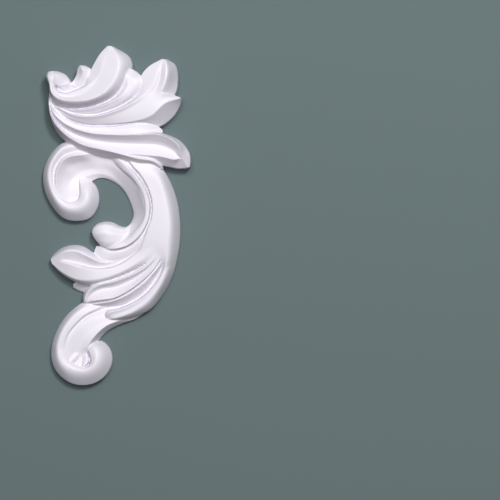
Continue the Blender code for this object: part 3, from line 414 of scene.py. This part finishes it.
def scroll():
    """Upper volute; its rails run from the plume round the left and the bottom into the eye."""
    # Scroll roll
    leaf([(-84, 76, 8), (-97, 71.5, 7), (-106.8, 61.3, 7), (-113.5, 47, 7), (-114, 31, 7),
          (-108, 14, 7), (-95, -1.5, 8), (-82, -4.8, 8), (-68, -1.8, 7), (-60, 10, 6), (-59, 21, 5),
          (-62, 30, 4), (-66.3, 34.5, 3), (-69.5, 37.5, 2.5)],
         [(-82, 70, 14), (-94, 67.5, 16), (-102.5, 58, 17), (-107.5, 46, 17.5), (-107, 32, 18),
          (-101.5, 18, 18.5), (-92.5, 9.2, 19), (-81.5, 7.3, 19.5), (-73, 12, 20), (-70, 20.5, 19),
          (-71, 28, 15.5), (-73, 34, 9), (-74.5, 38, 5)],
         [(-80, 64.5, 12), (-91.5, 61.7, 13), (-99.5, 54, 13), (-103.2, 43.6, 13.5), (-103, 32, 15.5),
          (-98.5, 20.5, 17), (-91, 13.6, 17.5), (-85.3, 12.9, 17), (-80, 15, 16.8), (-77.3, 19.5, 16.8),
          (-76.9, 25, 15.5), (-77.2, 30, 12.5), (-77.9, 34.5, 8.2), (-78.5, 38, 5.5)],
         [(-80, 62, 8), (-90, 59.5, 8), (-97.5, 52, 8), (-101, 42, 8), (-101, 32, 9), (-96.8, 22, 11),
          (-90.5, 15.4, 11.5), (-85.4, 14.5, 11.5), (-81.6, 16.2, 11), (-79, 19.8, 10),
          (-78.3, 25, 8.5), (-78.6, 30, 6.5), (-79.2, 34.5, 5.5), (-79.8, 38, 4.5)],
         domed=(0, 1))


def leaves():
    """Leaves on the inner side of the stem; every rail runs from the stem to the tip, upper rail first."""
    # Leaf one
    leaf([(-25, -8, 5), (-32, -11.2, 6), (-38, -10.2, 6), (-45, -6.8, 6), (-53, -5.9, 7), (-60, -8, 9),
          (-64.8, -12.3, 10), (-65.9, -15.5, 10)],
         [(-27, -12, 9), (-33, -14.5, 11), (-40, -13.3, 13.5), (-47, -10.6, 15), (-54, -9.6, 15.5),
          (-60.2, -11.5, 14.5), (-64, -14.5, 13), (-65.7, -17, 11.5)],
         [(-26, -15, 11), (-34, -18, 14), (-42, -18.3, 17), (-50, -17, 18.5), (-56, -16.7, 18),
          (-60.5, -17.5, 16.5), (-63.2, -19, 14.5), (-64.6, -20.2, 12.5)],
         [(-27, -19, 12), (-35, -22.8, 15), (-43, -24.5, 17), (-50, -24.3, 17.5), (-55.5, -23.8, 16.5),
          (-59.3, -23.4, 14.5), (-61.2, -23.8, 12.5), (-62.2, -24.1, 11)],
         [(-28, -23, 12), (-36, -28, 14), (-44, -31, 15), (-50, -31.5, 14.5), (-54, -30.8, 13),
          (-56.8, -29.6, 11.5), (-58, -28.8, 10.5), (-58.9, -28.1, 9.5)],
         rounded=(1, 2, 3), domed=(0, 3))
    # Leaf body
    leaf([(-9, -10, 12), (-16, -19, 13), (-30, -28.5, 12.5), (-44, -32, 13), (-55, -30.5, 10.5),
          (-61.5, -29.9, 6)],
         [(-7, -11, 17), (-14.5, -22, 18), (-28, -32, 15.5), (-44, -37, 14.8), (-55, -35.5, 12.5),
          (-63, -33.2, 7.5)],
         [(-5, -13, 17), (-12, -25, 17.5), (-26, -37, 14.4), (-44, -43, 13.8), (-56, -42.5, 12.5),
          (-64.5, -38, 8)],
         [(-3, -16, 12), (-10.5, -27.5, 14), (-24.5, -40, 11.5), (-44, -49, 10.5), (-56, -50, 10.5),
          (-65.4, -42, 7.5)],
         rounded=(1, 2))
    # Leaf two
    leaf([(-10, -16, 10), (-17, -25.5, 14), (-28, -34.5, 12), (-44, -42, 12), (-58, -41.5, 11),
          (-65.6, -36, 9), (-74, -30.8, 7), (-83, -29.3, 6), (-93, -31, 6), (-102, -36.7, 6),
          (-107.3, -43, 7)],
         [(-8, -17, 13), (-15, -27.5, 16.5), (-26, -36.5, 13.8), (-42, -45, 13), (-56, -46.5, 15),
          (-66, -42.5, 17.5), (-74, -38.3, 18), (-82.4, -35.2, 18), (-92, -36, 17.5),
          (-106.8, -43.8, 9)],
         [(-6, -18, 14), (-13.5, -29, 16.5), (-24, -38, 13), (-38, -47, 12), (-50, -50.6, 11.5),
          (-62, -51.2, 11.5), (-75, -48.2, 12.5), (-85, -45.3, 13.8), (-96, -43.5, 14.5),
          (-106.6, -44.3, 9)],
         [(-4, -19, 19.5), (-12, -30, 18.7), (-22.5, -38.3, 17.6), (-36, -48, 17.5), (-48, -52.4, 18),
          (-62, -53.2, 18.5), (-76, -51.3, 19), (-90, -47.6, 17.5), (-106.9, -45, 9)],
         [(0, -21, 20), (-7, -34, 19.1), (-20, -46, 18.5), (-40, -57, 18.5), (-62, -63, 18.5),
          (-82, -62.2, 16.5), (-95, -55.8, 14), (-105, -48.5, 10)],
         [(3, -22, 19.8), (-2.5, -37, 18.7), (-12, -46.5, 17), (-20, -52.5, 14), (-40, -63.2, 11),
          (-62, -69, 11), (-79, -66.8, 11), (-96.5, -57.2, 10), (-106.3, -47.2, 8)],
         rounded=(1, 4), domed=(0, 4))
    # Leaf three
    leaf([(-58, -62, 8), (-70, -63.5, 8), (-80, -65, 7.5), (-84.5, -68, 5.5)],
         [(-58, -66, 8.5), (-68, -66.5, 9), (-77, -66.8, 8.5), (-84.8, -69, 5.5)],
         [(-60, -77, 2.5), (-70, -77, 2.5), (-78, -74.9, 2), (-85, -71.3, 3)])
    # Leaf four
    leaf([(2, -24, 19.6), (-2.5, -36.5, 18.7), (-11.5, -47.3, 17.3), (-24, -56, 14.5),
          (-44, -63.2, 13.5), (-62, -67.2, 11.5), (-71.8, -73.4, 9), (-74.9, -82, 8), (-74.5, -87.5, 8)],
         [(3, -25, 19.6), (-1, -38, 18.8), (-10, -49.5, 18.7), (-24, -58, 18.5), (-43, -65, 18.5),
          (-60, -69.3, 17.5), (-69.5, -75.5, 16), (-72.8, -82, 14.5), (-73, -86, 13)],
         [(4, -26, 19.4), (0.5, -39.5, 18.3), (-8.5, -51, 16), (-22, -61.5, 13), (-40, -69.8, 12),
          (-57, -72.8, 11.5), (-66.3, -78.8, 12), (-69, -84, 12)],
         [(5, -28, 19.3), (2.6, -41.5, 18.4), (-4, -53, 18.3), (-14, -62.8, 18.5), (-28, -73.5, 18.5),
          (-44, -81.8, 18), (-56, -83.7, 17), (-66.5, -85, 14.5), (-72, -87, 11)],
         [(6, -29, 17), (3.8, -42.5, 15.5), (-2.8, -54.2, 14.5), (-13, -64.7, 14.2), (-27, -75.7, 14),
          (-42, -83.2, 13.5), (-55, -85.5, 11), (-65, -87, 11), (-73, -88, 9)],
         rounded=(1, 2))
    # Leaf four rim
    leaf([(4.6, -32, 15), (2.8, -43.5, 14.5), (-3.8, -54.6, 14), (-13.8, -65.1, 13.8),
          (-27, -75.6, 13.5), (-42, -83.2, 13), (-55, -85, 10), (-66, -86.5, 9)],
         [(6.6, -33, 18.6), (5, -44, 17.6), (-1, -53.2, 17.4), (-8, -61.2, 17.2), (-17, -69.7, 17),
          (-31, -78.9, 16.5), (-45, -85, 16), (-57, -87.3, 14.5), (-70, -88.8, 9)],
         [(7.9, -33, 9), (7, -45.5, 9.5), (3.4, -55.8, 9.5), (-1.4, -62.4, 9.5), (-6.2, -69, 9.5),
          (-12.6, -76.2, 9), (-20, -82.2, 8), (-29, -87.6, 7), (-40, -91.3, 5.5), (-50, -92.6, 4.5),
          (-59, -92, 4), (-72, -89.5, 4)])
    # Leaf five
    leaf([(7.4, -38, 8), (6.6, -49, 9), (3.3, -57, 9), (-4, -67.8, 8.5), (-18, -81.2, 8),
          (-38, -91.3, 7.5), (-51.9, -94.6, 8), (-53.2, -98.5, 8), (-52.2, -102.4, 8)],
         [(8, -38, 13), (7.8, -48, 16.8), (4.8, -57.2, 17.6), (-2.8, -68.8, 17.8), (-16.6, -82.6, 17.3),
          (-36, -92.4, 16.5), (-50, -96, 15.5), (-51.7, -98.9, 14.5), (-51.2, -101.3, 13)],
         [(8.6, -38, 12.5), (8.6, -48, 16), (5.6, -57.8, 17), (-1.4, -70.2, 17), (-13, -83, 16.4),
          (-29, -93.2, 15.6), (-42, -97.4, 14.6), (-48.2, -99.2, 13.6), (-49.5, -101.3, 12.3)],
         [(10, -38, 13), (9.4, -48, 16.6), (6.6, -58.4, 17.6), (0.6, -71, 17.8), (-9.6, -84, 17.4),
          (-24, -94.6, 16.6), (-37, -100, 15.4), (-44, -101.9, 14.3), (-49, -102.6, 12)],
         [(19.6, -40, 4), (14.4, -59.6, 4), (5, -77.4, 5), (-7, -92.4, 7.5), (-22, -99.8, 9),
          (-34, -103.3, 9), (-42.4, -105, 7.5), (-50.8, -103.6, 8)],
         rounded=(1, 2), domed=(3,))


def lower_scroll():
    """Neck and volute at the foot; its rails run down, outer rail first."""
    # Neck
    leaf([(-71, -84, 7), (-81.5, -90.8, 6), (-92.5, -101.2, 6), (-101.8, -116.9, 7), (-106.2, -134, 7),
          (-103, -148, 7)],
         [(-61, -84, 8), (-76.5, -93.6, 14), (-87.8, -105, 16.8), (-95.8, -119, 17.8),
          (-98.8, -134, 18), (-95.5, -146, 18)],
         [(-50, -87, 8), (-61, -92.5, 11.5), (-71.8, -98.2, 14), (-83.5, -108.8, 16.2),
          (-91, -119.5, 17), (-94, -134, 16.8), (-91, -146.5, 17)],
         [(-47, -90, 6.5), (-59, -94.8, 9), (-70.6, -99.9, 11.3), (-82, -109.8, 13.8),
          (-89.3, -119.5, 15.3), (-91.8, -132, 16), (-88.5, -147, 16)],
         [(-44, -92, 7.5), (-57.3, -96.8, 11), (-68.6, -102, 13.3), (-80, -111.2, 15),
          (-86.9, -120.7, 15.6), (-88.6, -134, 15.2), (-88.2, -141.5, 15), (-90, -149, 15.3)],
         [(-36, -93, 8), (-54, -102, 12.5), (-66, -111.5, 14), (-74.5, -121, 14), (-79, -134, 12.8),
          (-81.8, -141.5, 12), (-86, -149.5, 12.3)],
         [(-18, -90, 6), (-36, -103, 10), (-51.5, -109.8, 14), (-62, -119.2, 16.5), (-69.3, -130, 15.8),
          (-70.3, -138, 12), (-71.5, -150.5, 12)],
         [(-10, -94, 4), (-23.5, -103, 4), (-37, -107.8, 4), (-50, -114.5, 4), (-59.5, -124.5, 4),
          (-66, -134, 7), (-66.5, -149, 8)],
         rounded=(5,), domed=(0,))
    # Volute
    leaf([(-92.5, -101.5, 2), (-102, -117.5, 4), (-106.4, -138, 7), (-101.5, -154.6, 8),
          (-87, -166.6, 9), (-70, -168.5, 9), (-55, -161.8, 8), (-46.5, -149, 6), (-46.2, -137, 5),
          (-51, -128.5, 4), (-57, -124.3, 3)],
         [(-88, -106, 12), (-95.5, -119, 15), (-99, -135, 18), (-95, -146.5, 18.5),
          (-85.5, -152.5, 18.7), (-73.5, -154.5, 19.3), (-65, -150.5, 20), (-61, -143, 20),
          (-61.2, -136, 19), (-64, -131, 17), (-67.5, -128.3, 14)],
         [(-84, -108, 10), (-90, -121, 13), (-92.8, -135, 16.5), (-89.5, -144.5, 17), (-82, -149.8, 17),
          (-73, -151.8, 17.3), (-67.8, -149.3, 17.6), (-65.9, -144.3, 17.6), (-66.7, -139.7, 17.2),
          (-68.5, -135.4, 16), (-70.5, -131, 13.5)],
         [(-80, -112, 9), (-84.5, -124, 12), (-90, -135, 14.3), (-87.8, -143.6, 14.3),
          (-81.5, -148.7, 14), (-73.5, -150.7, 13.5), (-68.9, -148.6, 13.2), (-67.1, -144, 13.2),
          (-67.9, -139.8, 12.8), (-69.8, -135.7, 11.5), (-71.8, -131.8, 11)],
         domed=(0, 1))
    # Eye bank
    leaf([(-82, -135, 13), (-87, -141.5, 14.6), (-92.5, -148, 15.6)],
         [(-78.4, -137.4, 12.9), (-82.8, -142.2, 15), (-88.4, -147.6, 16)],
         [(-76.8, -139.4, 11.2), (-80.4, -145.2, 11.4), (-85.6, -150.2, 12.6)],
         rounded=(1,))
    # Eye fold
    leaf([(-77, -139.8, 11.2), (-80.8, -145.6, 11.6), (-85.6, -151, 12.8)],
         [(-76.2, -139.8, 12), (-78.2, -145.6, 13.4), (-80.6, -151.8, 15)],
         [(-75.2, -140, 11.6), (-75.8, -145.6, 12.2), (-76.2, -151.8, 13.8)],
         rounded=(1,))
    # Eye lip
    leaf([(-75.2, -139.6, 11.6), (-75.7, -145.4, 12.2), (-76.2, -151.8, 13.8)],
         [(-73.4, -138.4, 12.2), (-73, -142, 13.8), (-73, -145, 14.8), (-74, -148.6, 15.8),
          (-75.4, -152, 16.8)],
         [(-71.6, -137, 12.6), (-70.2, -140.4, 14.2), (-69.6, -144, 15.2), (-71.2, -147.8, 15.9),
          (-74.6, -151.4, 16.6)],
         [(-70.7, -136.2, 11.2), (-68.9, -140, 12), (-68.1, -144, 12.8), (-69.9, -148, 13.4),
          (-73.8, -150.3, 14.2)],
         rounded=(1, 2))


def only(obj):
    """Make this the one selected and active object."""
    bpy.ops.object.select_all(action="DESELECT")
    obj.select_set(True)
    bpy.context.view_layer.objects.active = obj


def apply(obj, kind, **settings):
    """Add a modifier with these settings and apply it."""
    only(obj)
    modifier = obj.modifiers.new(kind.lower(), kind)
    for key, value in settings.items():
        setattr(modifier, key, value)
    bpy.ops.object.modifier_apply(modifier=modifier.name)


def triangle_count(obj):
    """Number of triangles that the faces make."""
    return sum(len(face.vertices) - 2 for face in obj.data.polygons)


def weight_roots(piece):
    """Vertex group that is strong at the leaf roots, where the casting has no edges.

    Each place has its full strength as far as half its radius. Two places with fine folds have a weak one.
    """
    group = piece.vertex_groups.new(name="roots")
    for vertex in piece.data.vertices:
        x = vertex.co.x / MM
        z = vertex.co.z / MM
        weight = max(strength * min(1.0, 2.0 - 2.0 * math.hypot(x - cx, z - cz) / radius)
                     for cx, cz, radius, strength in ROOTS)
        if weight > 0.0:
            group.add([vertex.index], weight, "REPLACE")
    return group.name


def cut(low, high):
    """Trim what stands out of the box by a straight cut at each side."""
    sides = [((high.x, 0.0, 0.0), (1.0, 0.0, 0.0)), ((low.x, 0.0, 0.0), (-1.0, 0.0, 0.0)),
             ((0.0, 0.0, high.z), (0.0, 0.0, 1.0)), ((0.0, 0.0, low.z), (0.0, 0.0, -1.0)),
             ((0.0, low.y, 0.0), (0.0, -1.0, 0.0)), ((0.0, high.y, 0.0), (0.0, 1.0, 0.0))]
    bpy.ops.object.mode_set(mode="EDIT")
    for point, normal in sides:
        bpy.ops.mesh.select_all(action="SELECT")
        bpy.ops.mesh.bisect(plane_co=point, plane_no=normal, clear_outer=True, use_fill=True,
                            threshold=CUT_THRESHOLD)
    bpy.ops.object.mode_set(mode="OBJECT")


def drop_specks(piece):
    """Delete the closed specks that the remesh leaves apart from the casting."""
    only(piece)
    bpy.ops.object.mode_set(mode="EDIT")
    bpy.ops.mesh.select_all(action="DESELECT")
    bpy.ops.object.mode_set(mode="OBJECT")
    top = min(piece.data.vertices, key=lambda vertex: vertex.co.y)
    top.select = True
    bpy.ops.object.mode_set(mode="EDIT")
    bpy.ops.mesh.select_linked()
    bpy.ops.mesh.select_all(action="INVERT")
    bpy.ops.mesh.delete(type="VERT")
    bpy.ops.object.mode_set(mode="OBJECT")


def hold_inside(piece, low, high):
    """Move what the decimation pushed out a hair back into the box, and lay the back exactly flat."""
    for vertex in piece.data.vertices:
        x, y, z = vertex.co
        y = max(y, low.y + HAIR) if y < high.y - BACK_SNAP else high.y
        vertex.co = (min(max(x, low.x + HAIR), high.x - HAIR), y, min(max(z, low.z + HAIR), high.z - HAIR))


def cast_relief():
    """Fuse the lofts, soften them, cut the back flat and thin the mesh."""
    data = bpy.data.meshes.new("relief")
    relief.to_mesh(data)
    relief.free()
    piece = bpy.data.objects.new("cast_relief", data)
    bpy.context.scene.collection.objects.link(piece)
    apply(piece, "REMESH", mode="VOXEL", voxel_size=VOXEL * MM, adaptivity=0.0)
    apply(piece, "SMOOTH", factor=SMOOTH_FACTOR, iterations=SMOOTH_TURNS)
    roots = weight_roots(piece)
    apply(piece, "SMOOTH", factor=SMOOTH_FACTOR, iterations=ROOT_TURNS, vertex_group=roots)
    piece.vertex_groups.clear()
    cut(cad_low, cad_high)
    ratio = min(1.0, TRIANGLES / triangle_count(piece))
    apply(piece, "DECIMATE", decimate_type="COLLAPSE", ratio=ratio)
    hold_inside(piece, cad_low, cad_high)
    drop_specks(piece)
    bpy.ops.object.shade_smooth_by_angle(angle=SMOOTH_ANGLE)
    return piece


def white_primer():
    """Satin white primer."""
    material = bpy.data.materials.new("white_primer")
    material.use_nodes = True
    shader = material.node_tree.nodes["Principled BSDF"]
    shader.inputs["Base Color"].default_value = PRIMER_COLOUR
    shader.inputs["Roughness"].default_value = PRIMER_ROUGHNESS
    return material


def wall():
    """Plain backdrop that the ornament is fixed on, clear from behind so that the flat back can be seen."""
    bpy.ops.mesh.primitive_plane_add(size=WALL_SIZE, location=(0.0, WALL_GAP, 0.0),
                                     rotation=(math.pi / 2, 0.0, 0.0))
    backdrop = bpy.context.object
    backdrop.name = "backdrop"
    material = bpy.data.materials.new("backdrop_paint")
    material.use_nodes = True
    nodes = material.node_tree.nodes
    links = material.node_tree.links
    paint = nodes["Principled BSDF"]
    paint.inputs["Base Color"].default_value = WALL_COLOUR
    paint.inputs["Roughness"].default_value = WALL_ROUGHNESS
    clear = nodes.new("ShaderNodeBsdfTransparent")
    side = nodes.new("ShaderNodeNewGeometry")
    mix = nodes.new("ShaderNodeMixShader")
    links.new(side.outputs["Backfacing"], mix.inputs[0])
    links.new(paint.outputs[0], mix.inputs[1])
    links.new(clear.outputs[0], mix.inputs[2])
    links.new(mix.outputs[0], nodes["Material Output"].inputs["Surface"])
    backdrop.data.materials.append(material)


def area_light(name, place, size, power):
    """Square white lamp that points at the ornament."""
    data = bpy.data.lights.new(name, "AREA")
    data.size = size
    data.energy = power
    lamp = bpy.data.objects.new(name, data)
    lamp.location = place
    lamp.rotation_euler = (LAMP_TARGET - place).to_track_quat("-Z", "Y").to_euler()
    bpy.context.scene.collection.objects.link(lamp)


def back_light(piece):
    """Parallel light from behind, which only the flat back meets; the backdrop doesn't shade it."""
    data = bpy.data.lights.new("back_sun", "SUN")
    data.energy = BACK_SUN
    data.angle = 0.0
    lamp = bpy.data.objects.new("back_sun", data)
    lamp.rotation_euler = (-math.pi / 2, 0.0, 0.0)
    bpy.context.scene.collection.objects.link(lamp)
    blockers = bpy.data.collections.new("back light blockers")
    blockers.objects.link(piece)
    lamp.light_linking.blocker_collection = blockers


def camera():
    """Long lens, square on to the wall."""
    data = bpy.data.cameras.new("camera")
    data.sensor_width = SENSOR
    data.lens = SENSOR * CAMERA_DISTANCE / PICTURE_SPAN
    eye = bpy.data.objects.new("camera", data)
    eye.location = (PICTURE_CENTRE[0], -CAMERA_DISTANCE, PICTURE_CENTRE[1])
    eye.rotation_euler = (math.pi / 2, 0.0, 0.0)
    bpy.context.scene.collection.objects.link(eye)
    bpy.context.scene.camera = eye


def world():
    """Dim even light of the room."""
    sky = bpy.data.worlds.new("studio")
    sky.use_nodes = True
    sky.node_tree.nodes["Background"].inputs["Color"].default_value = (1.0, 1.0, 1.0, 1.0)
    sky.node_tree.nodes["Background"].inputs["Strength"].default_value = WORLD_STRENGTH
    bpy.context.scene.world = sky


relief = bmesh.new()
plume()
stem()
scroll()
leaves()
lower_scroll()
piece = cast_relief()
piece.data.materials.append(white_primer())
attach(piece, "root")
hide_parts(NODE)

wall()
back_light(piece)
area_light("key", KEY_PLACE, KEY_SIZE, KEY_POWER)
area_light("front", FRONT_PLACE, FRONT_SIZE, FRONT_POWER)
world()
camera()
view = bpy.context.scene.view_settings
view.view_transform = "Standard"
view.gamma = VIEW_GAMMA
